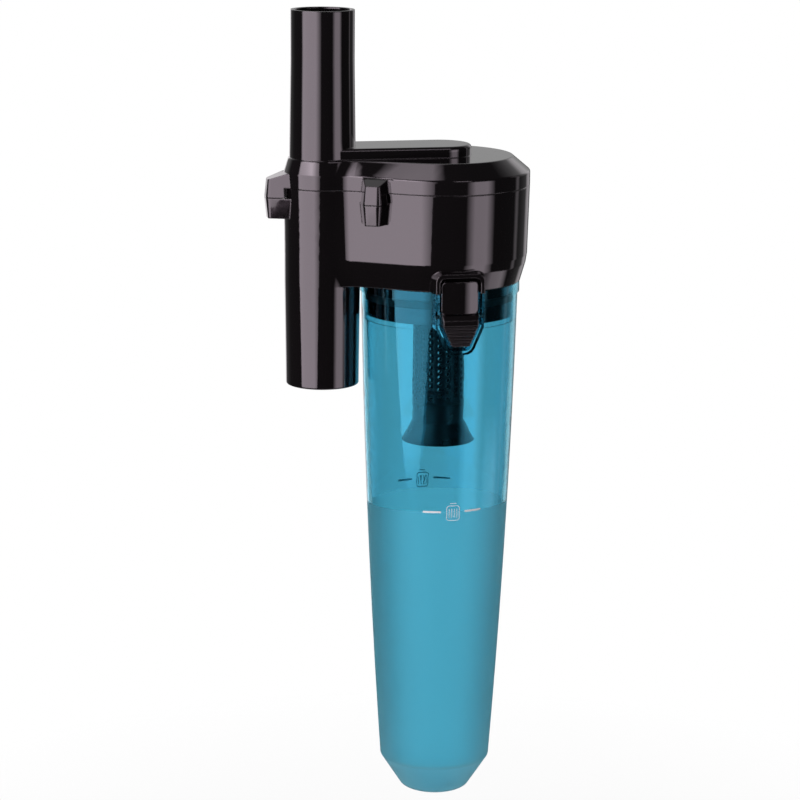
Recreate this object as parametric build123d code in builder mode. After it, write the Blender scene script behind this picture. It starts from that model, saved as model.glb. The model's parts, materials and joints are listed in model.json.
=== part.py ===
from build123d import *
from math import cos, degrees, radians, sin, sqrt
import os

# Spigot, the upper tube. Its mouth is the plane Z = 0 and the object hangs below it
spigot_radius = 16.0
spigot_land = 25.0
spigot_root_radius = 16.7
spigot_length = 73.5
spigot_wall = 2.0
spigot_rim_round = 0.6

# Head outline in plan: a tube circle and a chamber circle, joined by straight walls that touch the
# chamber circle and run into the tube circle with a hollow blend
tube_end_radius = 19.5
chamber_radius = 45.5
tube_axis_gap = 15.5
wall_lean = 33.0
wall_blend = 17.4
head_wall = 2.5
tube_end_draft = 0.3
chamber_draft = 0.9

# Cover: flat roof, sloping shoulder and upright band
roof_tube_setback = 2.3
roof_chamber_setback = 9.0
roof_wall_lean = 25.0
shoulder_height = 7.5
cover_band = 7.15
roof_round = 1.0
shoulder_round = 1.6

# Air duct on the roof and its floor plate
duct_half_width = 15.5
duct_height = 5.5
duct_round = 1.8
duct_wall = 3.0
rib_half_width = 16.5
plate_thickness = 3.0
plate_half_width = 17.2
plate_chamber_radius = 23.0
plate_clearance = 0.15
duct_gasket_height = 1.0
stub_radius = 11.0
stub_wall = 1.5
stub_end_drop = 69.0

# Housing: chamber wall, skirt, ring inside the case and inlet tube
chamber_height = 37.35
chamber_wall = 3.0
divider_wall = 1.5
skirt_height = 11.5
skirt_setback = 4.2
seam_bevel = 0.3
break_round = 2.2
floor_height = 2.5
ring_setback = 4.0
ring_wall = 2.5
ring_drop = 17.5
inlet_window_width = 17.0
inlet_window_start = 10.0
inlet_window_margin = 5.0
inlet_window_sill = 4.0
inlet_floor_rise = 3.5
inlet_wall = 3.6
inlet_tube_length = 101.6
inlet_mouth_radius = 18.6
socket_radius = 16.15
socket_depth = 50.0
inlet_bore_radius = 15.0
inlet_rim_round = 0.8
gasket_inset = 1.2
gasket_width = 1.3
gasket_height = 1.5
fit_clearance = 0.05

# Screw bosses, split between cover and housing
boss_wall_run = 33.7
boss_turn = 24.0
boss_reach = 9.8
boss_root = 3.0
boss_half_width = 9.0
boss_nose_half_width = 4.2
boss_round = 2.6
boss_split_drop = 5.0
boss_base_height = 10.5
boss_slope_drop = 3.3
boss_draft_angle = 6.0
boss_notch = 2.2
boss_gap = 0.25
screw_reach = 4.4
screw_shank_radius = 1.75
screw_hole_radius = 1.8
screw_through_radius = 2.2
screw_length = 14.0
screw_pilot_depth = 8.0
screw_head_radius = 3.0
screw_head_height = 2.4
screw_head_depth = 3.2
screw_head_clearance = 0.4

# Duct plate screws
plate_screw_circle = 19.5
plate_screw_angles = [0.0, 100.0, -100.0]
plate_boss_radius = 3.2
plate_shank_radius = 1.4
plate_screw_hole_radius = 1.45
plate_screw_length = 9.0
plate_screw_head_radius = 2.7
plate_screw_head_height = 1.8

# Dust case
seat_gap = 0.3
case_height = 274.7
case_wall = 2.2
case_rim_wall = 2.3
case_middle_taper = 3.5
case_middle_drop = 117.7
case_edge_radius = 28.8
case_edge_height = 17.6
case_bottom_radius = 17.5
case_bottom_round = 4.0
case_edge_round = 2.0
rim_bead_proud = 0.9
rim_bead_height = 5.5
ring_clearance = 0.5
case_bore_depth = 19.7
case_throat_step = 0.8

# Ring seal between head and case
seal_top_drop = 5.5
seal_height = 4.0
seal_groove_depth = 1.2
seal_bore_clearance = 0.05

# Filter inside the case
filter_radius = 13.3
filter_wall = 1.7
filter_length = 60.5
collar_length = 16.0
collar_clearance = 0.05
lug_reach = 1.5
lug_width = 5.0
lug_height = 3.0
lug_drop = 6.0
lug_clearance = 0.3
lug_count = 2
twist_angle = 20.0
hole_radius = 1.5
hole_sides = 6
hole_columns = 12
hole_rows = 9
hole_pitch = 4.5
hole_first_drop = 20.5
cone_collar_height = 9.7
cone_height = 10.3
cone_radius = 18.7
cone_wall = 1.6
plug_height = 2.5
plug_clearance = 0.1
filter_seal_height = 1.0
ledge_height = 1.5
ledge_bore_radius = 9.6

# Rocker latches, one on each side of the case
latch_half_width = 9.4
latch_curve_radius = 32.0
latch_inset = 0.3
latch_plate_thickness = 2.4
latch_top_drop = 42.95
latch_plate_height = 16.2
latch_corner_round = 2.3
pad_height = 17.0
pad_band = 3.0
pad_half_width = 10.0
pad_straight = 6.0
pad_toe_half_width = 5.2
pad_round = 2.6
pad_proud = 2.2
pad_draft_angle = 14.0
groove_count = 7
groove_pitch = 1.7
groove_height = 0.8
groove_depth = 0.6
hook_height = 3.3
hook_half_width = 7.0
catch_half_width = 7.5
catch_height = 2.3
hook_depth = 1.6
hook_clearance = 0.3
pivot_inset = 1.2
pivot_drop = 60.6
pivot_boss_radius = 2.4
pivot_slot_half_width = 3.2
pivot_side_gap = 0.6
pin_radius = 1.0
pin_clearance = 0.05
pin_end_gap = 0.2

# Frame on the housing and guard on the case, which fence in each latch
fence_half_width = 12.4
fence_wall = 2.0
frame_top_drop = 38.9
frame_proud = 1.8
frame_round = 3.8
frame_draft_angle = 12.0
frame_root_depth = 2.4
guard_inset = 1.1
guard_straight = 17.0
guard_drop = 30.7
guard_toe_half_width = 6.4
guard_round = 5.0
guard_root_depth = 2.1

# Latch springs, close-wound on the pins
spring_turns = 4
spring_wire = 1.0
spring_coil_radius = 2.2
spring_bore_radius = 1.3
spring_valley = 0.35
spring_slot_gap = 0.5
spring_leg_drop = 10.0
spring_leg_rise = 5.0

# Heights, radii and reaches worked out from the sizes above
roof_z = -spigot_length
shoulder_z = roof_z - shoulder_height
seam_z = shoulder_z - cover_band
break_z = seam_z - chamber_height
skirt_z = break_z - skirt_height
ring_z = skirt_z - ring_drop
web_z = skirt_z + floor_height
inlet_z = seam_z - inlet_tube_length
inlet_floor_z = web_z + inlet_floor_rise
gasket_inner = gasket_inset + gasket_width
roof_inner_z = roof_z - head_wall
duct_roof_z = roof_z + duct_height - head_wall
plate_top_z = seam_z + plate_thickness
rib_z = plate_top_z + duct_gasket_height
boss_split_z = seam_z - boss_split_drop
boss_base_z = boss_split_z - boss_base_height
rim_z = skirt_z - seat_gap
case_bottom_z = rim_z - case_height
case_edge_z = case_bottom_z + case_edge_height
case_middle_z = rim_z - case_middle_drop
seal_z = skirt_z - seal_top_drop
stub_z = seam_z - stub_end_drop
filter_top_z = stub_z + collar_length
filter_z = filter_top_z - filter_length
ledge_z = stub_z - filter_seal_height - fit_clearance
cone_top_z = filter_z - cone_collar_height
cone_z = cone_top_z - cone_height
lug_z = filter_top_z - lug_drop
latch_top_z = seam_z - latch_top_drop
latch_step_z = latch_top_z - latch_plate_height
axis_distance = chamber_radius + tube_axis_gap
chamber_bore_radius = chamber_radius - chamber_wall
skirt_radius = chamber_radius - skirt_setback
ring_radius = skirt_radius - ring_setback
ring_bore_radius = ring_radius - ring_wall
case_bore_radius = ring_radius + ring_clearance
case_throat_radius = case_bore_radius - case_throat_step
case_rim_radius = case_bore_radius + case_rim_wall
case_middle_radius = case_rim_radius - case_middle_taper
rim_bead_radius = case_rim_radius + rim_bead_proud
frame_reach = chamber_radius + frame_proud
frame_root_reach = skirt_radius - frame_root_depth
guard_root_reach = case_rim_radius - guard_root_depth
latch_face_reach = frame_reach - latch_inset
latch_back_reach = latch_face_reach - latch_plate_thickness
pad_reach = latch_face_reach + pad_proud
catch_reach = latch_back_reach - hook_depth
pivot_reach = latch_back_reach - pivot_inset
guard_reach = frame_reach - guard_inset
pivot_z = seam_z - pivot_drop
frame_top_z = seam_z - frame_top_drop

# Sections of the head's outer wall from the seam down: height, tube radius and chamber radius
tube_break_radius = tube_end_radius - tube_end_draft
break_radius = chamber_radius - chamber_draft
skirt_draft = break_radius - skirt_radius
wall_steps = [
    (seam_z, tube_end_radius, chamber_radius),
    (break_z + break_round, tube_break_radius, break_radius + chamber_draft * break_round / chamber_height),
    (break_z - break_round, tube_break_radius, break_radius - skirt_draft * break_round / skirt_height),
    (skirt_z, tube_break_radius, skirt_radius),
]

chamber_axis = Axis((axis_distance, 0, 0), (0, 0, 1))
tube_section = Plane.XZ
chamber_section = Plane(origin=(axis_distance, 0, 0), x_dir=(1, 0, 0), z_dir=(0, -1, 0))

# Straight wall at the front of the head: its outward normal, its run towards the chamber, its distance
# from the tube's axis and how far along its run it touches the chamber circle
wall_normal = Vector(-sin(radians(wall_lean)), -cos(radians(wall_lean)))
wall_run = Vector(cos(radians(wall_lean)), -sin(radians(wall_lean)))
wall_offset = chamber_radius + wall_normal.X * axis_distance
wall_touch = wall_run.X * axis_distance
inlet_window = Plane(
    origin=(0, 0, seam_z - inlet_window_margin), x_dir=(wall_run.X, -wall_run.Y, 0), z_dir=(0, 0, 1)
)
lug_half_angle = degrees((lug_width / 2 + lug_clearance) / stub_radius)


def level(z):
    return Plane.XY.offset(z)


def pear(tube_radius, round_radius, lean=wall_lean, mode=Mode.ADD):
    """Head outline: tube circle, hollow blends, straight walls that lean from X, and chamber circle."""
    normal = Vector(-sin(radians(lean)), cos(radians(lean)))
    run = Vector(cos(radians(lean)), sin(radians(lean)))
    blend = wall_blend + tube_end_radius - tube_radius
    reach = round_radius + normal.X * axis_distance + blend
    centre = normal * reach + run * sqrt((tube_radius + blend) ** 2 - reach**2)
    tube_end = centre * (tube_radius / (tube_radius + blend))
    wall_start = centre - normal * blend
    wall_end = Vector(axis_distance, 0) + normal * round_radius
    middle = centre + ((tube_end + wall_start) / 2 - centre).normalized() * blend
    with BuildLine() as upper:
        ThreePointArc(tube_end, middle, wall_start)
        Line(wall_start, wall_end)
    with BuildLine() as outline:
        add(upper.edges())
        mirror(upper.edges(), about=Plane.XZ)
        ThreePointArc(wall_end, (axis_distance + round_radius, 0), (wall_end.X, -wall_end.Y))
        ThreePointArc(tube_end, (-tube_radius, 0), (tube_end.X, -tube_end.Y))
    make_face(outline.edges(), mode=mode)


def duct_slot(half_width, mode=Mode.ADD):
    """Round-ended slot from the tube's axis to the chamber's axis."""
    with Locations((axis_distance / 2, 0)):
        SlotCenterToCenter(axis_distance, 2 * half_width, mode=mode)


def plate_outline(clearance):
    """Floor of the duct: a wide slot under the duct and a disc round the stub."""
    duct_slot(plate_half_width + clearance)
    with Locations((axis_distance, 0)):
        Circle(plate_chamber_radius + clearance)


def boss_plane(z, index):
    """Plane on the head's wall at one screw boss, with X pointing outward."""
    front = wall_normal * wall_offset + wall_run * boss_wall_run
    facing = Vector(-sin(radians(boss_turn)), -cos(radians(boss_turn)))
    places = [
        (Vector(-tube_end_radius, 0), Vector(-1, 0)),
        (front, facing),
        (Vector(front.X, -front.Y), Vector(facing.X, -facing.Y)),
    ]
    spot, outward = places[index]
    return Plane(origin=(spot.X, spot.Y, z), x_dir=outward, z_dir=(0, 0, 1))


def boss_outline():
    """Plan of a screw boss: wide at the wall, narrow and rounded at the nose."""
    with BuildLine() as outline:
        side = FilletPolyline(
            (-boss_root, -boss_half_width),
            (boss_reach, -boss_nose_half_width),
            (boss_reach, boss_nose_half_width),
            (-boss_root, boss_half_width),
            radius=boss_round,
        )
        Line(side @ 1, side @ 0)
    make_face(outline.edges())


def latch_plane(reach, turn):
    """Plane facing out of the case at one latch: X along the case, Y up, at a radius of reach."""
    angle = radians(turn)
    outward = Vector(sin(angle), -cos(angle))
    along = Vector(cos(angle), sin(angle))
    return Plane(
        origin=(axis_distance + reach * outward.X, reach * outward.Y, 0), x_dir=along, z_dir=outward
    )


def latch_side_plane(turn):
    """Plane across one latch: X out of the case, Y up, through the case's axis."""
    face = latch_plane(0, turn)
    return Plane(origin=face.origin, x_dir=face.z_dir, z_dir=-face.x_dir)


def radial_plane(angle, normal=False):
    """Upright plane at the chamber's axis: X runs out along angle, or faces it."""
    outward = Vector(cos(radians(angle)), sin(radians(angle)))
    along = Vector(-outward.Y, outward.X)
    if normal:
        return Plane(origin=(axis_distance, 0, 0), x_dir=along, z_dir=outward)
    return Plane(origin=(axis_distance, 0, 0), x_dir=outward, z_dir=-along)


def shield_outline(half_width, top_z, straight_z, toe_z, toe_half_width, corner_round):
    """Upright sides, then flanks in to a narrow toe, with rounded corners below the straight top."""
    with BuildLine() as outline:
        sides = FilletPolyline(
            (-half_width, top_z),
            (-half_width, straight_z),
            (-toe_half_width, toe_z),
            (toe_half_width, toe_z),
            (half_width, straight_z),
            (half_width, top_z),
            radius=corner_round,
        )
        Line(sides @ 1, sides @ 0)
    make_face(outline.edges())


def guard_outline(top_z):
    shield_outline(
        fence_half_width,
        top_z,
        rim_z - guard_straight,
        rim_z - guard_drop,
        guard_toe_half_width,
        guard_round,
    )


turns = {"front": 0.0, "rear": 180.0}
plate_screw_spots = [
    (axis_distance + plate_screw_circle * cos(radians(angle)), plate_screw_circle * sin(radians(angle)))
    for angle in plate_screw_angles
]
boss_indexes = range(3)
os.makedirs("parts", exist_ok=True)

# Cover
with BuildPart() as cover:
    with BuildSketch(level(seam_z)):
        pear(tube_end_radius, chamber_radius)
    extrude(amount=cover_band)
    with BuildSketch(level(shoulder_z)):
        pear(tube_end_radius, chamber_radius)
    with BuildSketch(level(roof_z)):
        pear(tube_end_radius - roof_tube_setback, chamber_radius - roof_chamber_setback, roof_wall_lean)
    loft()
    fillet(cover.edges().group_by(Axis.Z)[2], shoulder_round)
    fillet(cover.faces().sort_by(Axis.Z)[-1].edges(), roof_round)

    # Air duct and spigot on the roof
    with BuildSketch(level(roof_inner_z)):
        duct_slot(duct_half_width)
    extrude(amount=duct_height + head_wall)
    fillet(cover.faces().sort_by(Axis.Z)[-1].edges(), duct_round)
    with BuildSketch(tube_section):
        with BuildLine():
            Polyline(
                (0, roof_inner_z),
                (spigot_root_radius, roof_inner_z),
                (spigot_root_radius, roof_z),
                (spigot_radius, -spigot_land),
                (spigot_radius, 0),
                (0, 0),
                close=True,
            )
        make_face()
    revolve(axis=Axis.Z)

    # Upper halves of the screw bosses, with sloping tops
    for index in boss_indexes:
        with BuildSketch(boss_plane(boss_split_z, index)):
            boss_outline()
        extrude(amount=shoulder_z - boss_split_z, taper=boss_draft_angle)
        slope = boss_plane(shoulder_z, index)
        with BuildSketch(Plane(origin=slope.origin, x_dir=slope.x_dir, z_dir=-slope.y_dir)):
            with BuildLine():
                Polyline((0, 0), (boss_reach, -boss_slope_drop), (boss_reach, 0), close=True)
            make_face()
        extrude(amount=boss_half_width, both=True, mode=Mode.SUBTRACT)
    with BuildSketch(level(seam_z)):
        pear(tube_end_radius + boss_notch, chamber_radius + boss_notch)
    extrude(amount=-boss_split_drop, mode=Mode.SUBTRACT)

    # Hollow over the chamber, with the duct's rib and the plate's screw bosses left standing
    with BuildSketch(chamber_section):
        with BuildLine():
            Polyline(
                (0, roof_inner_z),
                (chamber_radius - roof_chamber_setback - head_wall, roof_inner_z),
                (chamber_bore_radius, shoulder_z - head_wall),
                (chamber_bore_radius, seam_z),
                (0, seam_z),
                close=True,
            )
        make_face()
    revolve(axis=chamber_axis, mode=Mode.SUBTRACT)
    with BuildSketch(level(roof_inner_z)):
        duct_slot(rib_half_width)
    extrude(amount=rib_z - roof_inner_z)
    with BuildSketch(level(roof_inner_z)):
        with Locations(*plate_screw_spots):
            Circle(plate_boss_radius)
    extrude(amount=plate_top_z - roof_inner_z)

    # Recess for the duct plate and its gasket, then the air passage
    with BuildSketch(level(seam_z)):
        plate_outline(plate_clearance)
    extrude(amount=plate_thickness, mode=Mode.SUBTRACT)
    with BuildSketch(level(plate_top_z)):
        duct_slot(rib_half_width)
    extrude(amount=duct_gasket_height, mode=Mode.SUBTRACT)
    with BuildSketch(level(plate_top_z)):
        duct_slot(duct_half_width - duct_wall)
    extrude(amount=duct_roof_z - plate_top_z, mode=Mode.SUBTRACT)
    with BuildSketch(level(plate_top_z)):
        Circle(spigot_radius - spigot_wall)
    extrude(amount=-plate_top_z, mode=Mode.SUBTRACT)

    # Pilot holes for both sets of screws
    with BuildSketch(level(plate_top_z)):
        with Locations(*plate_screw_spots):
            Circle(plate_screw_hole_radius)
    extrude(amount=plate_screw_length - plate_thickness, mode=Mode.SUBTRACT)
    for index in boss_indexes:
        with BuildSketch(boss_plane(boss_split_z, index)):
            with Locations((screw_reach, 0)):
                Circle(screw_hole_radius)
        extrude(amount=screw_pilot_depth, mode=Mode.SUBTRACT)
    fillet(cover.faces().sort_by(Axis.Z)[-1].inner_wires().edges(), spigot_rim_round)
cover.part.label = "cover"
export_step(cover.part, "parts/cover.step")

# Housing
with BuildPart() as housing:
    # Latch frames, open at the back: the head's own wall closes them
    for turn in turns.values():
        with BuildSketch(latch_plane(frame_reach, turn)):
            with Locations((0, (frame_top_z + ring_z) / 2)):
                RectangleRounded(2 * fence_half_width, frame_top_z - ring_z, frame_round)
        extrude(amount=frame_root_reach - frame_reach, taper=-frame_draft_angle)
        with BuildSketch(latch_plane(frame_reach, turn)):
            with Locations((0, (frame_top_z + ring_z) / 2)):
                RectangleRounded(
                    2 * (fence_half_width - fence_wall),
                    frame_top_z - ring_z - 2 * fence_wall,
                    frame_round - fence_wall / 2,
                )
        extrude(amount=frame_root_reach - frame_reach, mode=Mode.SUBTRACT)
    with BuildSketch(level(skirt_z)):
        with Locations((axis_distance, 0)):
            Circle(frame_reach + fence_half_width)
    extrude(amount=-2 * ring_drop, mode=Mode.SUBTRACT)

    # Drafted wall that turns in two steps to the tapered skirt, the seat for the case, ring and inlet tube
    for (high_z, high_tube, high_round), (low_z, low_tube, low_round) in zip(wall_steps, wall_steps[1:]):
        with BuildSketch(level(high_z)):
            pear(high_tube, high_round)
        with BuildSketch(level(low_z)):
            pear(low_tube, low_round)
        loft()
    chamfer(housing.faces().sort_by(Axis.Z)[-1].edges(), seam_bevel)
    with BuildSketch(chamber_section):
        with BuildLine():
            Polyline(
                (0, skirt_z),
                (ring_radius, skirt_z),
                (ring_radius, seal_z),
                (ring_radius - seal_groove_depth, seal_z),
                (ring_radius - seal_groove_depth, seal_z - seal_height),
                (ring_radius, seal_z - seal_height),
                (ring_radius, ring_z),
                (0, ring_z),
                close=True,
            )
        make_face()
    revolve(axis=chamber_axis)
    with BuildSketch(tube_section):
        with BuildLine():
            Polyline(
                (0, skirt_z),
                (tube_break_radius, skirt_z),
                (inlet_mouth_radius, inlet_z),
                (0, inlet_z),
                close=True,
            )
        make_face()
    revolve(axis=Axis.Z)

    # Lower halves of the screw bosses and the catches that the latches hook over
    for index in boss_indexes:
        with BuildSketch(boss_plane(boss_split_z - boss_gap, index)):
            boss_outline()
        extrude(amount=boss_gap - boss_base_height, taper=boss_draft_angle)
    for turn in turns.values():
        with BuildSketch(latch_plane(frame_root_reach, turn)):
            with Locations((0, skirt_z + catch_height / 2)):
                Rectangle(2 * catch_half_width, catch_height)
        extrude(amount=catch_reach - frame_root_reach)

    # Cyclone chamber, and the inlet space beside it behind a round divider
    with BuildSketch(chamber_section):
        with BuildLine():
            Polyline(
                (0, seam_z),
                (chamber_bore_radius, seam_z),
                (chamber_bore_radius, break_z),
                (ring_bore_radius, web_z),
                (ring_bore_radius, ring_z),
                (0, ring_z),
                close=True,
            )
        make_face()
    revolve(axis=chamber_axis, mode=Mode.SUBTRACT)
    with BuildSketch(level(seam_z)):
        pear(tube_end_radius - head_wall, chamber_radius - inlet_wall)
        with Locations((axis_distance, 0)):
            Circle(chamber_bore_radius + divider_wall, mode=Mode.SUBTRACT)
    extrude(amount=inlet_floor_z - seam_z, mode=Mode.SUBTRACT)
    with BuildSketch(inlet_window):
        with Locations((inlet_window_start, wall_offset - head_wall)):
            Rectangle(
                wall_touch - inlet_window_start,
                inlet_window_width,
                align=(Align.MIN, Align.MAX),
            )
    extrude(amount=inlet_floor_z + inlet_window_sill - inlet_window.origin.Z, mode=Mode.SUBTRACT)

    # Socket for the wand and the bore above it
    with BuildSketch(level(inlet_z)):
        Circle(socket_radius)
    extrude(amount=socket_depth, mode=Mode.SUBTRACT)
    with BuildSketch(level(inlet_z)):
        Circle(inlet_bore_radius)
    extrude(amount=inlet_floor_z - inlet_z, mode=Mode.SUBTRACT)
    fillet(housing.faces().sort_by(Axis.Z)[0].edges(), inlet_rim_round)

    # Rebate for the cover gasket and holes for the cover screws
    with BuildSketch(level(seam_z)):
        pear(tube_end_radius - gasket_inset, chamber_radius - gasket_inset)
        pear(tube_end_radius - gasket_inner, chamber_radius - gasket_inner, mode=Mode.SUBTRACT)
    extrude(amount=-gasket_height, mode=Mode.SUBTRACT)
    for index in boss_indexes:
        with BuildSketch(boss_plane(boss_split_z, index)):
            with Locations((screw_reach, 0)):
                Circle(screw_through_radius)
        extrude(amount=-boss_base_height, mode=Mode.SUBTRACT)
        with BuildSketch(boss_plane(boss_base_z, index)):
            with Locations((screw_reach, 0)):
                Circle(screw_head_radius + screw_head_clearance)
        extrude(amount=screw_head_depth, mode=Mode.SUBTRACT)
housing.part.label = "housing"
export_step(housing.part, "parts/housing.step")

# Floor of the air duct, with the stub that carries the filter and its bayonet lugs
with BuildPart() as duct_plate:
    with BuildSketch(level(seam_z)):
        plate_outline(0)
    extrude(amount=plate_thickness)
    with BuildSketch(level(stub_z)):
        with Locations((axis_distance, 0)):
            Circle(stub_radius)
    extrude(amount=stub_end_drop)
    with BuildSketch(level(lug_z - lug_height / 2)):
        with Locations((axis_distance, 0)):
            Rectangle(2 * (stub_radius + lug_reach), lug_width)
    extrude(amount=lug_height)
    with BuildSketch(level(stub_z)):
        with Locations((axis_distance, 0)):
            Circle(stub_radius - stub_wall)
    extrude(amount=plate_top_z - stub_z, mode=Mode.SUBTRACT)
    with BuildSketch(level(seam_z)):
        with Locations(*plate_screw_spots):
            Circle(plate_screw_hole_radius)
    extrude(amount=plate_thickness, mode=Mode.SUBTRACT)
duct_plate.part.label = "duct_plate"
export_step(duct_plate.part, "parts/duct_plate.step")

# Gaskets and seals
with BuildPart() as cover_gasket:
    with BuildSketch(level(seam_z - gasket_height)):
        pear(tube_end_radius - gasket_inset - fit_clearance, chamber_radius - gasket_inset - fit_clearance)
        pear(tube_end_radius - gasket_inner, chamber_radius - gasket_inner, mode=Mode.SUBTRACT)
    extrude(amount=gasket_height)
cover_gasket.part.label = "cover_gasket"
export_step(cover_gasket.part, "parts/cover_gasket.step")

with BuildPart() as duct_gasket:
    with BuildSketch(level(plate_top_z)):
        duct_slot(rib_half_width - fit_clearance)
        duct_slot(spigot_radius - spigot_wall, mode=Mode.SUBTRACT)
    extrude(amount=duct_gasket_height)
duct_gasket.part.label = "duct_gasket"
export_step(duct_gasket.part, "parts/duct_gasket.step")

with BuildPart() as case_seal:
    with BuildSketch(level(seal_z - seal_height + fit_clearance)):
        with Locations((axis_distance, 0)):
            Circle(case_bore_radius - seal_bore_clearance)
            Circle(ring_radius - seal_groove_depth + fit_clearance, mode=Mode.SUBTRACT)
    extrude(amount=seal_height - 2 * fit_clearance)
case_seal.part.label = "case_seal"
export_step(case_seal.part, "parts/case_seal.step")

with BuildPart() as filter_seal:
    with BuildSketch(level(ledge_z)):
        with Locations((axis_distance, 0)):
            Circle(stub_radius)
            Circle(ledge_bore_radius, mode=Mode.SUBTRACT)
    extrude(amount=filter_seal_height)
filter_seal.part.label = "filter_seal"
export_step(filter_seal.part, "parts/filter_seal.step")

# Screws
with BuildPart() as cover_screws:
    for index in boss_indexes:
        with BuildSketch(boss_plane(boss_base_z + screw_head_depth, index)):
            with Locations((screw_reach, 0)):
                Circle(screw_shank_radius)
        extrude(amount=screw_length)
        with BuildSketch(boss_plane(boss_base_z + screw_head_depth, index)):
            with Locations((screw_reach, 0)):
                Circle(screw_head_radius)
        extrude(amount=-screw_head_height)
cover_screws.part.label = "cover_screws"
export_step(cover_screws.part, "parts/cover_screws.step")

with BuildPart() as plate_screws:
    with BuildSketch(level(seam_z)):
        with Locations(*plate_screw_spots):
            Circle(plate_shank_radius)
    extrude(amount=plate_screw_length)
    with BuildSketch(level(seam_z)):
        with Locations(*plate_screw_spots):
            Circle(plate_screw_head_radius)
    extrude(amount=-plate_screw_head_height)
plate_screws.part.label = "plate_screws"
export_step(plate_screws.part, "parts/plate_screws.step")

# Filter tube: bayonet collar, seal ledge and staggered rows of holes
with BuildPart() as filter_tube:
    with BuildSketch(chamber_section):
        with BuildLine():
            Polyline(
                (stub_radius + collar_clearance, filter_top_z),
                (filter_radius, filter_top_z),
                (filter_radius, filter_z),
                (filter_radius - filter_wall, filter_z),
                (filter_radius - filter_wall, ledge_z - ledge_height),
                (ledge_bore_radius, ledge_z - ledge_height),
                (ledge_bore_radius, ledge_z),
                (stub_radius + collar_clearance, ledge_z),
                close=True,
            )
        make_face()
    revolve(axis=chamber_axis)
    for lug in range(lug_count):
        lug_angle = 360 * lug / lug_count
        slot_low_z = lug_z - lug_height / 2 - lug_clearance
        slot_high_z = lug_z + lug_height / 2 + lug_clearance
        cuts = [
            (twist_angle + 2 * lug_half_angle, slot_low_z, slot_high_z),
            (2 * lug_half_angle, slot_low_z, filter_top_z),
        ]
        for arc, low_z, high_z in cuts:
            with BuildSketch(radial_plane(lug_angle - twist_angle - lug_half_angle)):
                with Locations((filter_radius, (low_z + high_z) / 2)):
                    Rectangle(2 * (filter_radius - stub_radius), high_z - low_z)
            revolve(axis=chamber_axis, revolution_arc=arc, mode=Mode.SUBTRACT)
    for column in range(hole_columns // 2):
        stagger = column % 2 * hole_pitch / 2
        column_rows = hole_rows - column % 2
        with BuildSketch(radial_plane(360 * column / hole_columns, normal=True)):
            for row in range(column_rows):
                with Locations((0, filter_top_z - hole_first_drop - stagger - row * hole_pitch)):
                    RegularPolygon(hole_radius, hole_sides)
        extrude(amount=filter_radius, both=True, mode=Mode.SUBTRACT)
filter_tube.part.label = "filter_tube"
export_step(filter_tube.part, "parts/filter_tube.step")

# Cone that closes the filter: plug, collar and flared skirt
with BuildPart() as filter_cone:
    with BuildSketch(chamber_section):
        with BuildLine():
            Polyline(
                (0, filter_z + plug_height),
                (filter_radius - filter_wall - plug_clearance, filter_z + plug_height),
                (filter_radius - filter_wall - plug_clearance, filter_z),
                (filter_radius, filter_z),
                (filter_radius, cone_top_z),
                (cone_radius, cone_z),
                (cone_radius - cone_wall, cone_z),
                (filter_radius - cone_wall, cone_top_z),
                (0, cone_top_z),
                close=True,
            )
        make_face()
    revolve(axis=chamber_axis)
filter_cone.part.label = "filter_cone"
export_step(filter_cone.part, "parts/filter_cone.step")

# Dust case with its latch guards
with BuildPart() as dust_case:
    for turn in turns.values():
        with BuildSketch(latch_plane(guard_root_reach, turn)):
            guard_outline(rim_z)
        extrude(amount=guard_reach - guard_root_reach)
        with BuildSketch(latch_plane(guard_root_reach, turn)):
            guard_outline(rim_z + fence_wall)
            offset(amount=-fence_wall, kind=Kind.INTERSECTION, mode=Mode.REPLACE)
        extrude(amount=guard_reach - guard_root_reach, mode=Mode.SUBTRACT)
    with BuildSketch(chamber_section) as case_outline:
        with BuildLine():
            Polyline(
                (0, rim_z),
                (0, case_bottom_z),
                (case_bottom_radius, case_bottom_z),
                (case_edge_radius, case_edge_z),
            )
            ThreePointArc(
                (case_edge_radius, case_edge_z),
                (case_middle_radius, case_middle_z),
                (case_rim_radius, rim_z - rim_bead_height),
            )
            Polyline(
                (case_rim_radius, rim_z - rim_bead_height),
                (rim_bead_radius, rim_z - rim_bead_height),
                (rim_bead_radius, rim_z),
                (0, rim_z),
            )
        make_face()
        fillet(case_outline.vertices().group_by(Axis.Y)[1], case_edge_round)
        fillet(case_outline.vertices().group_by(Axis.Y)[0].sort_by(Axis.X)[-1], case_bottom_round)
    revolve(axis=chamber_axis)
    with BuildSketch(chamber_section):
        with BuildLine():
            Polyline(
                (0, rim_z),
                (0, case_bottom_z + case_wall),
                (case_bottom_radius - case_wall / 2, case_bottom_z + case_wall),
                (case_edge_radius - case_wall, case_edge_z + case_wall / 2),
            )
            ThreePointArc(
                (case_edge_radius - case_wall, case_edge_z + case_wall / 2),
                (case_middle_radius - case_wall, case_middle_z),
                (case_throat_radius, rim_z - case_bore_depth),
            )
            Polyline(
                (case_throat_radius, rim_z - case_bore_depth),
                (case_bore_radius, rim_z - case_bore_depth),
                (case_bore_radius, rim_z),
                (0, rim_z),
            )
        make_face()
    revolve(axis=chamber_axis, mode=Mode.SUBTRACT)
    for turn in turns.values():
        with BuildSketch(latch_side_plane(turn)):
            with Locations((pivot_reach, pivot_z)):
                Circle(pin_radius)
        extrude(amount=fence_half_width, both=True, mode=Mode.SUBTRACT)
dust_case.part.label = "dust_case"
export_step(dust_case.part, "parts/dust_case.step")

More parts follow.
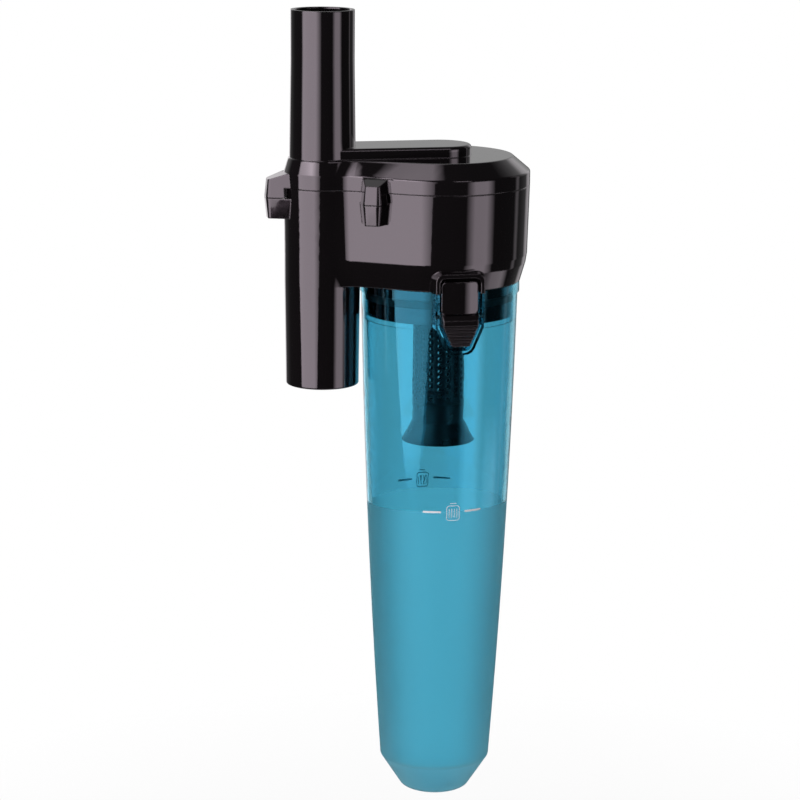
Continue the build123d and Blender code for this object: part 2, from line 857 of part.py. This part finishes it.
# Latches with their pins and springs
for side, turn in turns.items():
    with BuildPart() as latch:
        with BuildSketch(latch_plane(latch_back_reach, turn)):
            with Locations((0, (latch_top_z + latch_step_z) / 2)):
                RectangleRounded(2 * latch_half_width, latch_plate_height, latch_corner_round)
        extrude(amount=latch_plate_thickness)
        with BuildSketch(Plane(latch_plane(latch_face_reach - latch_curve_radius, turn).origin)):
            Circle(latch_curve_radius)
        extrude(amount=latch_step_z - latch_plate_height, both=True, mode=Mode.INTERSECT)
        with BuildSketch(latch_plane(latch_back_reach, turn)):
            shield_outline(
                pad_half_width,
                latch_step_z,
                latch_step_z - pad_straight,
                latch_step_z - pad_height,
                pad_toe_half_width,
                pad_round,
            )
        extrude(amount=pad_reach - latch_back_reach, taper=pad_draft_angle)
        with BuildSketch(latch_side_plane(turn)):
            with BuildLine():
                Polyline(
                    (latch_face_reach, latch_step_z),
                    (pad_reach, latch_step_z),
                    (pad_reach, latch_step_z - pad_band),
                    close=True,
                )
            make_face()
        extrude(amount=pad_half_width, both=True, mode=Mode.SUBTRACT)
        with BuildSketch(latch_plane(pad_reach - groove_depth, turn)):
            for groove in range(groove_count):
                with Locations((0, latch_step_z - pad_straight - groove * groove_pitch)):
                    Rectangle(2 * pad_half_width, groove_height)
        extrude(amount=pad_reach - latch_back_reach, mode=Mode.SUBTRACT)
        with BuildSketch(latch_plane(latch_back_reach, turn)):
            with Locations((0, latch_top_z - hook_height / 2)):
                Rectangle(2 * hook_half_width, hook_height)
        extrude(amount=catch_reach + hook_clearance - latch_back_reach)
        with BuildSketch(latch_side_plane(turn)):
            with Locations((pivot_reach, pivot_z)):
                Circle(pivot_boss_radius)
        extrude(amount=fence_half_width - fence_wall - pivot_side_gap, both=True)
        with BuildSketch(latch_side_plane(turn)):
            with Locations((pivot_reach, pivot_z)):
                Circle(spring_coil_radius + spring_slot_gap)
        extrude(amount=pivot_slot_half_width, both=True, mode=Mode.SUBTRACT)
        with BuildSketch(latch_side_plane(turn)):
            with Locations((pivot_reach, pivot_z)):
                Circle(pin_radius + pin_clearance)
        extrude(amount=fence_half_width, both=True, mode=Mode.SUBTRACT)
    latch.part.label = f"latch_{side}"
    export_step(latch.part, f"parts/latch_{side}.step")

    with BuildPart() as latch_pin:
        with BuildSketch(latch_side_plane(turn)):
            with Locations((pivot_reach, pivot_z)):
                Circle(pin_radius)
        extrude(amount=fence_half_width - pin_end_gap, both=True)
    latch_pin.part.label = f"latch_pin_{side}"
    export_step(latch_pin.part, f"parts/latch_pin_{side}.step")

    coil_half_length = spring_turns * spring_wire / 2
    with BuildPart() as latch_spring:
        face = latch_plane(pivot_reach, turn)
        pivot = face.origin + Vector(0, 0, pivot_z)
        with BuildSketch(Plane(origin=pivot, x_dir=face.x_dir, z_dir=(0, 0, -1))):
            with BuildLine():
                crests = []
                for coil in range(spring_turns):
                    start = coil * spring_wire - coil_half_length
                    crests.append((start, spring_coil_radius - spring_valley))
                    crests.append((start + spring_valley, spring_coil_radius))
                    crests.append((start + spring_wire - spring_valley, spring_coil_radius))
                crests.append((coil_half_length, spring_coil_radius - spring_valley))
                Polyline(
                    (coil_half_length, spring_bore_radius),
                    (-coil_half_length, spring_bore_radius),
                    *crests,
                    close=True,
                )
            make_face()
        revolve(axis=Axis(pivot, face.x_dir))
        legs = [
            (spring_wire / 2 - coil_half_length, -spring_leg_drop),
            (coil_half_length - spring_wire / 2, spring_leg_rise),
        ]
        for along, rise in legs:
            with BuildSketch(latch_plane(pivot_reach - spring_coil_radius, turn)):
                with Locations((along, pivot_z + rise / 2)):
                    Rectangle(spring_wire, abs(rise))
            extrude(amount=spring_wire)
    latch_spring.part.label = f"latch_spring_{side}"
    export_step(latch_spring.part, f"parts/latch_spring_{side}.step")
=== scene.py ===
import json
from math import cos, pi, radians, sin

import bmesh
import bpy
from mathutils import Matrix, Vector


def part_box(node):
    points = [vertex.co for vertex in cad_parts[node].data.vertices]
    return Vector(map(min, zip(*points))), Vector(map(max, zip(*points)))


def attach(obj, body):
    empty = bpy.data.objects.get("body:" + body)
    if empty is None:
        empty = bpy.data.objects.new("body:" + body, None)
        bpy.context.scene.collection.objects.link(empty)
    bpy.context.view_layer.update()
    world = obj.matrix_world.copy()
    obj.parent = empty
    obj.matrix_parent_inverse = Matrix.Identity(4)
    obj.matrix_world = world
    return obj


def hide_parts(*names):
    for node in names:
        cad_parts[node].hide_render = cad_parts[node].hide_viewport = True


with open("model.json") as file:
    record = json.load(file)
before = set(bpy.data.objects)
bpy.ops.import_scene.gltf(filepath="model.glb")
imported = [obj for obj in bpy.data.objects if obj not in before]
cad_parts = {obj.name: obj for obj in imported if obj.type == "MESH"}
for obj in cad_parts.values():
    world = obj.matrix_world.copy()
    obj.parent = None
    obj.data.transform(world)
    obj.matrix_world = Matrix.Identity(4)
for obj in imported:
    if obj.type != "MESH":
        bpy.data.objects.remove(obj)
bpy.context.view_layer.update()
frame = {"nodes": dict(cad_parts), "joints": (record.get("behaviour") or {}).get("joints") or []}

nodes = frame["nodes"]
scene = bpy.context.scene

# Places read from the frame, in metres
JOINTS = {joint["name"]: joint for joint in frame["joints"]}
CASE_TRAVEL = JOINTS["case_slide"]["range_m"][1]
CASE_AXIS = Vector(JOINTS["filter_twist"]["pos_m"][:2])
CASE_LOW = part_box("dust_case")[0]
FILTER_LOW, FILTER_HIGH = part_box("filter_tube")

# Camera: fitted to the photograph, measured from the spigot's mouth
VIEW_TURN = radians(12.2)
VIEW_PITCH = radians(13.2)
VIEW_ROLL = radians(0.45)
CAMERA_DISTANCE = 1.2933
CAMERA_SHIFT = 0.0399
CAMERA_HEIGHT = 0.1045
CAMERA_LENS = 116.4
CAMERA_SENSOR = 36.0
CAMERA_CLIP = (0.05, 50.0)

# Head finish: edges look rounded by this radius
HEAD_EDGE = 0.0008
BEVEL_SAMPLES = 6

# Case finish: clear above a line that drops a little towards the back, frosted below it.
# Each colour deepens where the view runs along the wall.
FROST_Z = -0.2547
FROST_TILT = 0.0872
FROST_EDGE = 0.0004
FROST_GRAIN = 1800.0
FROST_ROUGHNESS = (0.38, 0.46)
CASE_ROUGHNESS = 0.02
CASE_IOR = 1.585
CASE_EDGE_FACING = (0.45, 0.85)
CASE_CLEAR = (0.220, 0.570, 0.700, 1.0)
CASE_CLEAR_EDGE = (0.06, 0.34, 0.46, 1.0)
CASE_FROSTED = (0.267, 0.662, 0.797, 1.0)
CASE_FROSTED_EDGE = (0.12, 0.60, 0.74, 1.0)
CASE_GLOSS = (0.18, 0.74, 1.0, 1.0)

# Fine filter: round holes in staggered columns, each in a cell with eight points on its border
FILTER_RADIUS = FILTER_HIGH.x - CASE_AXIS.x
FILTER_WALL = 0.0017
FILTER_COLUMNS = 18
FILTER_PITCH = 0.00325
FILTER_ROWS = 12
FILTER_FIRST = 0.0195
FILTER_SHARP = radians(40)
HOLE_RADIUS = 0.0011
HOLE_ROUND = 0.0004
HOLE_BENDS = (0.0, pi / 6, pi / 3, pi / 2)
HOLE_POINTS = 16
CELL_BORDER = ((-1, -1), (0, -1), (1, -1), (1, 0), (1, 1), (0, 1), (-1, 1), (-1, 0))
POINTS_PER_METRE = 1e7

# Level marks printed on the case, in metres along and up: two dashes and a ribbed bin between them
MARK_FRONT_Z = -0.2518
MARK_REAR_Z = -0.2525
MARK_RADIUS = 0.0367
MARK_REACH = 0.08
MARK_STEP = 0.0006
MARK_LIFT = 0.00004
DASHES = ((-0.0155, -0.0062), (0.0062, 0.0155))
DASH_STROKE = 0.0010
BIN_FRONT_STROKE = 0.0003
BIN_REAR_STROKE = 0.00045
BIN_HALF_WIDTH = 0.0033
BIN_HALF_HEIGHT = 0.0045
BIN_CORNER = 0.0009
BIN_LID_GAP = 0.0013
BIN_RIBS = (-0.6, -0.2, 0.2, 0.6)
BIN_RIB_TOP_GAP = 0.0015
BIN_RIB_FOOT_GAP = 0.0014

# Studio: the floor lies under the case's lowest pose
FLOOR_GAP = 0.002
FLOOR_Z = CASE_LOW.z - CASE_TRAVEL - FLOOR_GAP
FLOOR_RADIUS = 0.42
FLOOR_FADE = 0.16
FLOOR_SIDES = 96
FLOOR_PAINT = (0.8, 0.8, 0.8, 1)
FLOOR_GLOW = 0.92
ROOM_LEVEL = 0.025
WALL_LOW = 0.1
WALL_HIGH = 0.36
WALL_RISE = (-0.05, 0.12)
WALL_FACING = (cos(radians(65)), cos(radians(35)))
BACKDROP_LEVEL = 0.8
BACKDROP_FACING = (0.25, 0.7)
LAMP_TINT = (1.0, 0.94, 0.985)
LAMP_AIM_Z = -0.15

# Lamps: azimuth and elevation in degrees, distance, width and height in metres, radiance, and the
# shares over which the light fades out (of the width at left and right, of the height at both ends)
LAMPS = {
    "softbox_left": (-41, 8, 1.5, 2.3, 1.75, 2.1, (0.12, 0.3, 0.06), "ELLIPSE"),
    "softbox_high": (-50, 38, 1.5, 1.5, 0.9, 2.4, (0.15, 0.25, 0.15), "RECTANGLE"),
    "softbox_right": (52, -8, 0.7, 0.5, 0.72, 1.7, (0.3, 0.3, 0.12), "RECTANGLE"),
    "softbox_front": (32, 42, 1.3, 0.5, 0.4, 1.5, (0.2, 0.2, 0.2), "RECTANGLE"),
    "softbox_strip": (115, 5, 1.5, 0.3, 1.8, 0.3, (0.4, 0.4, 0.1), "RECTANGLE"),
    "softbox_low": (88, -30, 0.45, 0.3, 0.15, 1.0, (0.3, 0.3, 0.3), "RECTANGLE"),
    "softbox_top": (-110, 72, 1.2, 0.9, 0.9, 1.4, (0.2, 0.2, 0.2), "RECTANGLE"),
    "softbox_back_left": (-160, 2, 1.5, 0.6, 1.6, 0.8, (0.3, 0.3, 0.12), "RECTANGLE"),
    "softbox_back_right": (151, 2, 1.5, 0.6, 1.6, 0.35, (0.3, 0.3, 0.12), "RECTANGLE"),
}


def toward(azimuth, elevation=0.0):
    """Direction from the object. Azimuth 0 is towards the camera and grows to its right."""
    front = Vector((-sin(VIEW_TURN), -cos(VIEW_TURN), 0))
    right = Vector((cos(VIEW_TURN), -sin(VIEW_TURN), 0))
    level = front * cos(azimuth) + right * sin(azimuth)
    return level * cos(elevation) + Vector((0, 0, sin(elevation)))


def add_camera():
    camera = bpy.data.objects.new("camera", bpy.data.cameras.new("camera"))
    scene.collection.objects.link(camera)
    camera.data.lens = CAMERA_LENS
    camera.data.sensor_width = CAMERA_SENSOR
    camera.data.clip_start, camera.data.clip_end = CAMERA_CLIP
    spot = toward(0) * CAMERA_DISTANCE + toward(pi / 2) * CAMERA_SHIFT
    look = -toward(0, VIEW_PITCH)
    turn = look.to_track_quat("-Z", "Y").to_matrix() @ Matrix.Rotation(VIEW_ROLL, 3, "Z")
    camera.matrix_world = Matrix.Translation((spot.x, spot.y, CAMERA_HEIGHT)) @ turn.to_4x4()
    scene.camera = camera


def bare_tree(owner):
    owner.use_nodes = True
    owner.node_tree.nodes.clear()
    return owner.node_tree


def fill(tree, socket, part):
    """Link an input to a socket, or set it to a number or colour."""
    if isinstance(part, bpy.types.NodeSocket):
        tree.links.new(part, socket)
    else:
        socket.default_value = part


def calc(tree, operation, first, second):
    node = tree.nodes.new("ShaderNodeMath")
    node.operation = operation
    fill(tree, node.inputs[0], first)
    fill(tree, node.inputs[1], second)
    return node.outputs["Value"]


def mix(tree, factor, first, second, kind="RGBA"):
    node = tree.nodes.new("ShaderNodeMix")
    node.data_type = kind
    for name, part in (("Factor", factor), ("A", first), ("B", second)):
        fill(tree, node.inputs[name], part)
    return node.outputs["Result"]


def mix_shader(tree, factor, first, second):
    node = tree.nodes.new("ShaderNodeMixShader")
    for index, part in enumerate((factor, first, second)):
        tree.links.new(part, node.inputs[index])
    return node.outputs["Shader"]


def measure(tree, operation, place, way=None):
    """Length of a vector, or its dot product with a direction."""
    node = tree.nodes.new("ShaderNodeVectorMath")
    node.operation = operation
    tree.links.new(place, node.inputs[0])
    if way is not None:
        node.inputs[1].default_value = way
    return node.outputs["Value"]


def remap(tree, value, low, high, from_low=0.3, from_high=0.7):
    node = tree.nodes.new("ShaderNodeMapRange")
    node.inputs["From Min"].default_value = from_low
    node.inputs["From Max"].default_value = from_high
    node.inputs["To Min"].default_value = low
    node.inputs["To Max"].default_value = high
    tree.links.new(value, node.inputs["Value"])
    return node.outputs["Result"]


def noise(tree, scale, detail=2.0):
    place = tree.nodes.new("ShaderNodeTexCoord")
    texture = tree.nodes.new("ShaderNodeTexNoise")
    texture.inputs["Scale"].default_value = scale
    texture.inputs["Detail"].default_value = detail
    tree.links.new(place.outputs["Object"], texture.inputs["Vector"])
    return texture.outputs["Fac"]


def bump(tree, shader, height, strength, distance, edge=0.0):
    """Surface relief, over edges rounded by the radius in edge."""
    node = tree.nodes.new("ShaderNodeBump")
    node.inputs["Strength"].default_value = strength
    node.inputs["Distance"].default_value = distance
    tree.links.new(height, node.inputs["Height"])
    tree.links.new(node.outputs["Normal"], shader.inputs["Normal"])
    if edge:
        rounded = tree.nodes.new("ShaderNodeBevel")
        rounded.samples = BEVEL_SAMPLES
        rounded.inputs["Radius"].default_value = edge
        tree.links.new(rounded.outputs["Normal"], node.inputs["Normal"])
        tree.links.new(node.outputs["Normal"], shader.inputs["Coat Normal"])


def new_material(name):
    material = bpy.data.materials.new(name)
    tree = bare_tree(material)
    output = tree.nodes.new("ShaderNodeOutputMaterial")
    shader = tree.nodes.new("ShaderNodeBsdfPrincipled")
    tree.links.new(shader.outputs["BSDF"], output.inputs["Surface"])
    return material, tree, shader


def textured(name, shades, shade_scale, roughness, rough_scale, relief, relief_scale, detail=2.0, edge=0.0):
    """Material whose colour, roughness and relief each follow a noise of their own."""
    material, tree, shader = new_material(name)
    tree.links.new(mix(tree, noise(tree, shade_scale), *shades), shader.inputs["Base Color"])
    tree.links.new(remap(tree, noise(tree, rough_scale), *roughness), shader.inputs["Roughness"])
    strength, distance = relief
    bump(tree, shader, noise(tree, relief_scale, detail), strength, distance, edge)
    return material, shader


def gloss_black():
    """Polished black moulding: a faint warm tone, slight orange peel, and a gloss like lacquer."""
    material, shader = textured(
        "head_black",
        shades=((0.0030, 0.0024, 0.0027, 1), (0.0050, 0.0041, 0.0046, 1)),
        shade_scale=18.0,
        roughness=(0.03, 0.07),
        rough_scale=60.0,
        relief=(0.04, 0.0004),
        relief_scale=140.0,
        detail=1.0,
        edge=HEAD_EDGE,
    )
    shader.inputs["Specular Tint"].default_value = (1.0, 0.80, 0.95, 1.0)
    shader.inputs["Coat Weight"].default_value = 1.0
    shader.inputs["Coat Roughness"].default_value = 0.02
    return material


def plain_black():
    """Unpolished black moulding of the inner parts."""
    return textured(
        "inner_black",
        shades=((0.009, 0.011, 0.014, 1), (0.015, 0.018, 0.023, 1)),
        shade_scale=30.0,
        roughness=(0.26, 0.38),
        rough_scale=120.0,
        relief=(0.08, 0.0002),
        relief_scale=900.0,
    )[0]


def rubber():
    """Soft black rubber of the seals."""
    return textured(
        "seal_rubber",
        shades=((0.010, 0.010, 0.010, 1), (0.026, 0.026, 0.025, 1)),
        shade_scale=60.0,
        roughness=(0.55, 0.75),
        rough_scale=250.0,
        relief=(0.15, 0.0002),
        relief_scale=1500.0,
    )[0]


def mark_paint():
    """White print with a slightly uneven film."""
    return textured(
        "mark_white",
        shades=((0.72, 0.75, 0.77, 1), (0.86, 0.88, 0.89, 1)),
        shade_scale=900.0,
        roughness=(0.3, 0.45),
        rough_scale=400.0,
        relief=(0.1, 0.00005),
        relief_scale=2500.0,
    )[0]


def steel(name, tint, roughness):
    """Plated or drawn steel with fine streaks."""
    material, tree, shader = new_material(name)
    streak = noise(tree, scale=700.0, detail=4.0)
    dark = tuple(0.82 * part for part in tint) + (1,)
    tree.links.new(mix(tree, streak, dark, tint + (1,)), shader.inputs["Base Color"])
    shader.inputs["Metallic"].default_value = 1.0
    tree.links.new(remap(tree, streak, *roughness), shader.inputs["Roughness"])
    bump(tree, shader, streak, strength=0.1, distance=0.0001)
    return material


def clear_case():
    """Blue plastic: clear above the frost line, etched below it."""
    material, tree, shader = new_material("case_blue")
    place = tree.nodes.new("ShaderNodeTexCoord").outputs["Object"]
    height = measure(tree, "DOT_PRODUCT", place, (0, FROST_TILT, 1))
    frost = remap(tree, height, 1.0, 0.0, FROST_Z - FROST_EDGE, FROST_Z + FROST_EDGE)
    slant = tree.nodes.new("ShaderNodeLayerWeight")
    edge = remap(tree, slant.outputs["Facing"], 0.0, 1.0, *CASE_EDGE_FACING)
    clear = mix(tree, edge, CASE_CLEAR, CASE_CLEAR_EDGE)
    frosted = mix(tree, edge, CASE_FROSTED, CASE_FROSTED_EDGE)
    tree.links.new(mix(tree, frost, clear, frosted), shader.inputs["Base Color"])
    grain = remap(tree, noise(tree, FROST_GRAIN), *FROST_ROUGHNESS)
    etched = calc(tree, "MULTIPLY", frost, grain)
    tree.links.new(calc(tree, "ADD", etched, CASE_ROUGHNESS), shader.inputs["Roughness"])
    shader.inputs["Transmission Weight"].default_value = 1.0
    shader.inputs["IOR"].default_value = CASE_IOR
    shader.inputs["Specular IOR Level"].default_value = 1.0
    shader.inputs["Specular Tint"].default_value = CASE_GLOSS
    return material


def dress(names, material):
    for name in names:
        slots = nodes[name].data.materials
        slots.clear()
        slots.append(material)


def add_piece(name, sheet, material, body):
    mesh = bpy.data.meshes.new(name)
    bmesh.ops.recalc_face_normals(sheet, faces=sheet.faces)
    sheet.to_mesh(mesh)
    sheet.free()
    mesh.materials.append(material)
    piece = bpy.data.objects.new(name, mesh)
    scene.collection.objects.link(piece)
    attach(piece, body)
    return piece


def add_filter(material):
    """Perforated tube: cells with a round hole each, staggered by half a pitch, between plain ends."""
    sheet = bmesh.new()
    points = {}

    def point(turn, radius, z):
        place = (CASE_AXIS.x + radius * cos(turn), CASE_AXIS.y + radius * sin(turn), z)
        key = tuple(round(value * POINTS_PER_METRE) for value in place)
        if key not in points:
            points[key] = sheet.verts.new(place)
        return points[key]

    def face(corners, smooth=True):
        made = sheet.faces.new(corners)
        made.smooth = smooth

    outside, inside = radii = (FILTER_RADIUS, FILTER_RADIUS - FILTER_WALL)
    rings = []
    for bend in HOLE_BENDS:
        hole = HOLE_RADIUS + HOLE_ROUND * (1 - sin(bend))
        rings.append((outside, hole, HOLE_ROUND * (1 - cos(bend))))
    rings.append((inside, HOLE_RADIUS, 0))
    half_turn = pi / FILTER_COLUMNS
    half_pitch = FILTER_PITCH / 2
    first_z = FILTER_HIGH.z - FILTER_FIRST
    last_z = first_z - FILTER_PITCH * FILTER_ROWS

    def add_cell(middle, z):
        rims = []
        for radius, hole, depth in rings:
            rim = []
            for index in range(HOLE_POINTS):
                angle = 2 * pi * (index - 2) / HOLE_POINTS - pi / 2
                along = hole * cos(angle) / radius
                rim.append(point(middle + along, radius - depth, z + hole * sin(angle)))
            rims.append(rim)
            if depth:
                continue
            outer = [point(middle + a * half_turn, radius, z + b * half_pitch) for a, b in CELL_BORDER]
            for index, low in enumerate(outer):
                high = outer[(index + 1) % len(outer)]
                near, mid, far = (rim[(2 * index + step) % HOLE_POINTS] for step in range(3))
                face((low, high, mid))
                face((low, mid, near))
                face((high, far, mid))
        for first, second in zip(rims, rims[1:]):
            for index in range(HOLE_POINTS):
                after = (index + 1) % HOLE_POINTS
                face((first[index], first[after], second[after], second[index]))

    for column in range(FILTER_COLUMNS):
        middle = 2 * half_turn * column
        odd = column % 2
        for row in range(FILTER_ROWS - odd):
            add_cell(middle, first_z - half_pitch - odd * half_pitch - row * FILTER_PITCH)
        if not odd:
            continue
        for radius in radii:
            for top_z, low_z in ((first_z, first_z - half_pitch), (last_z + half_pitch, last_z)):
                corners = [(step, top_z) for step in (-1, 0, 1)] + [(step, low_z) for step in (1, 0, -1)]
                face([point(middle + step * half_turn, radius, z) for step, z in corners])
    turns = [half_turn * step - half_turn for step in range(2 * FILTER_COLUMNS + 1)]
    for left, right in zip(turns, turns[1:]):
        for radius in radii:
            for top_z, low_z in ((FILTER_HIGH.z, first_z), (last_z, FILTER_LOW.z)):
                corners = [(left, top_z), (right, top_z), (right, low_z), (left, low_z)]
                face([point(turn, radius, z) for turn, z in corners])
        for z in (FILTER_HIGH.z, FILTER_LOW.z):
            corners = [(left, outside), (right, outside), (right, inside), (left, inside)]
            face([point(turn, radius, z) for turn, radius in corners], smooth=False)
    for edge in sheet.edges:
        if len(edge.link_faces) == 2 and edge.calc_face_angle() > FILTER_SHARP:
            edge.smooth = False
    piece = add_piece("filter_mesh", sheet, material, "filter")
    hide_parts("filter_tube")


def add_marks(name, facing, middle_z, bin_stroke, material):
    """Thin printed strokes that lie on the case's wall round one facing."""
    case = nodes["dust_case"]
    sheet = bmesh.new()

    def spot(along, up):
        turn = facing + along / MARK_RADIUS
        way = Vector((cos(turn), sin(turn), 0))
        start = Vector((CASE_AXIS.x, CASE_AXIS.y, middle_z + up)) + way * MARK_REACH
        place = case.ray_cast(start, -way)[1]
        return place, way

    def stroke(start, end, breadth):
        start, end = Vector(start), Vector(end)
        run = end - start
        side = Vector((-run.y, run.x)).normalized() * breadth / 2
        corners = ((side, MARK_LIFT), (-side, MARK_LIFT), (-side, -MARK_LIFT), (side, -MARK_LIFT))
        count = max(2, round(run.length / MARK_STEP))
        rows = []
        for step in range(count + 1):
            centre = start + run * step / count
            row = []
            for edge, lift in corners:
                place, way = spot(centre.x + edge.x, centre.y + edge.y)
                row.append(sheet.verts.new(place + way * lift))
            rows.append(row)
        for first, second in zip(rows, rows[1:]):
            for index in range(4):
                after = (index + 1) % 4
                sheet.faces.new((first[index], first[after], second[after], second[index]))
        sheet.faces.new(rows[0])
        sheet.faces.new(rows[-1][::-1])

    for start, end in DASHES:
        stroke((start, 0), (end, 0), DASH_STROKE)
    width, height = BIN_HALF_WIDTH, BIN_HALF_HEIGHT
    lid = height - BIN_LID_GAP
    outline = [
        (-width + BIN_CORNER, -height),
        (width - BIN_CORNER, -height),
        (width, -height + BIN_CORNER),
        (width, lid - BIN_CORNER),
        (width - BIN_CORNER, lid),
        (-width + BIN_CORNER, lid),
        (-width, lid - BIN_CORNER),
        (-width, -height + BIN_CORNER),
    ]
    for start, end in zip(outline, outline[1:] + outline[:1]):
        stroke(start, end, bin_stroke)
    stroke((-width / 2, height), (width / 2, height), bin_stroke)
    for rib in BIN_RIBS:
        top = (rib * width, lid - BIN_RIB_TOP_GAP)
        foot = (rib * width, -height + BIN_RIB_FOOT_GAP)
        stroke(top, foot, bin_stroke)
    add_piece(name, sheet, material, "case")


def fade_edges(lamp, fades):
    """Let the light fade at the lamp's left and right, and at both ends of its height."""
    lamp.use_nodes = True
    tree = lamp.node_tree
    glow = next(node for node in tree.nodes if node.type == "EMISSION")
    place = tree.nodes.new("ShaderNodeNewGeometry")
    split = tree.nodes.new("ShaderNodeSeparateXYZ")
    tree.links.new(place.outputs["Parametric"], split.inputs["Vector"])
    left, right, ends = fades
    ramps = [("X", 0.0, left), ("X", 1.0, 1.0 - right), ("Y", 0.0, ends), ("Y", 1.0, 1.0 - ends)]
    level = None
    for axis, outer, inner in ramps:
        part = remap(tree, split.outputs[axis], 0.0, 1.0, outer, inner)
        level = part if level is None else calc(tree, "MULTIPLY", level, part)
    tree.links.new(level, glow.inputs["Strength"])


def add_softbox(name, azimuth, elevation, distance, width, height, radiance, fades, shape):
    """Lamp with soft edges that faces the object."""
    lamp = bpy.data.lights.new(name, "AREA")
    fade_edges(lamp, fades)
    lamp.shape = shape
    lamp.size = width
    lamp.size_y = height
    lamp.energy = radiance * width * height * pi
    lamp.color = LAMP_TINT
    stand = bpy.data.objects.new(name, lamp)
    scene.collection.objects.link(stand)
    way = toward(radians(azimuth), radians(elevation))
    stand.location = Vector((CASE_AXIS.x, CASE_AXIS.y, LAMP_AIM_Z)) + way * distance
    stand.rotation_mode = "QUATERNION"
    stand.rotation_quaternion = way.to_track_quat("Z", "Y")
    stand.visible_camera = False


def add_world():
    """White for the camera and straight through the clear case.

    A look through the case after a reflection meets a dimmer white, behind the object alone.
    Reflections and light come from a dim room whose far wall grows paler upwards.
    """
    world = bpy.data.worlds.new("studio")
    scene.world = world
    tree = bare_tree(world)
    output = tree.nodes.new("ShaderNodeOutputWorld")
    background = tree.nodes.new("ShaderNodeBackground")
    tree.links.new(background.outputs["Background"], output.inputs["Surface"])
    path = tree.nodes.new("ShaderNodeLightPath").outputs
    place = tree.nodes.new("ShaderNodeTexCoord").outputs["Generated"]
    split = tree.nodes.new("ShaderNodeSeparateXYZ")
    tree.links.new(place, split.inputs["Vector"])
    facing = measure(tree, "DOT_PRODUCT", place, -toward(0))
    wall = remap(tree, split.outputs["Z"], WALL_LOW, WALL_HIGH, *WALL_RISE)
    behind = remap(tree, facing, 0.0, 1.0, *WALL_FACING)
    room = mix(tree, behind, ROOM_LEVEL, wall, "FLOAT")
    bounces = calc(tree, "ADD", path["Glossy Depth"], path["Diffuse Depth"])
    straight = remap(tree, bounces, 1.0, 0.0, 0.0, 1.0)
    backdrop = remap(tree, facing, 0.0, BACKDROP_LEVEL, *BACKDROP_FACING)
    pale = calc(tree, "MAXIMUM", straight, backdrop)
    through = calc(tree, "MULTIPLY", path["Is Transmission Ray"], pale)
    seen = calc(tree, "MAXIMUM", path["Is Camera Ray"], through)
    background.inputs["Color"].default_value = (1, 1, 1, 1)
    tree.links.new(mix(tree, seen, room, 1.0, "FLOAT"), background.inputs["Strength"])


def add_floor():
    """Pale round floor that fades out into the white behind it and keeps the object's shadow.

    Seen directly or through the clear case it glows almost white.
    """
    mesh = bpy.data.meshes.new("floor")
    sheet = bmesh.new()
    bmesh.ops.create_circle(sheet, cap_ends=True, segments=FLOOR_SIDES, radius=FLOOR_RADIUS)
    sheet.to_mesh(mesh)
    sheet.free()
    floor = bpy.data.objects.new("floor", mesh)
    floor.location = (CASE_AXIS.x, CASE_AXIS.y, FLOOR_Z)
    scene.collection.objects.link(floor)
    material = bpy.data.materials.new("floor")
    tree = bare_tree(material)
    output = tree.nodes.new("ShaderNodeOutputMaterial")
    path = tree.nodes.new("ShaderNodeLightPath").outputs
    paint = tree.nodes.new("ShaderNodeBsdfDiffuse")
    paint.inputs["Color"].default_value = FLOOR_PAINT
    glow = tree.nodes.new("ShaderNodeEmission")
    clear = tree.nodes.new("ShaderNodeBsdfTransparent")
    seen = calc(tree, "MAXIMUM", path["Is Camera Ray"], path["Is Transmission Ray"])
    share = calc(tree, "MULTIPLY", seen, FLOOR_GLOW)
    lit = mix_shader(tree, share, paint.outputs["BSDF"], glow.outputs["Emission"])
    place = tree.nodes.new("ShaderNodeTexCoord").outputs["Object"]
    fade = remap(tree, measure(tree, "LENGTH", place), 0.0, 1.0, FLOOR_FADE, FLOOR_RADIUS)
    faded = mix_shader(tree, fade, lit, clear.outputs["BSDF"])
    tree.links.new(faded, output.inputs["Surface"])
    mesh.materials.append(material)


head_black = gloss_black()
inner_black = plain_black()
dress(["cover", "housing", "latch_front", "latch_rear"], head_black)
dress(["duct_plate", "filter_tube", "filter_cone"], inner_black)
dress(["cover_gasket", "duct_gasket", "case_seal", "filter_seal"], rubber())
dress(["cover_screws", "plate_screws"], steel("screw_steel", (0.55, 0.55, 0.56), (0.25, 0.4)))
dress(
    ["latch_pin_front", "latch_pin_rear", "latch_spring_front", "latch_spring_rear"],
    steel("pin_steel", (0.6, 0.6, 0.61), (0.15, 0.3)),
)
dress(["dust_case"], clear_case())

add_filter(inner_black)
mark_white = mark_paint()
add_marks("level_mark_front", -pi / 2, MARK_FRONT_Z, BIN_FRONT_STROKE, mark_white)
add_marks("level_mark_rear", pi / 2, MARK_REAR_Z, BIN_REAR_STROKE, mark_white)

add_camera()
add_world()
add_floor()
for lamp_name, lamp_facts in LAMPS.items():
    add_softbox(lamp_name, *lamp_facts)

scene.view_settings.view_transform = "Standard"
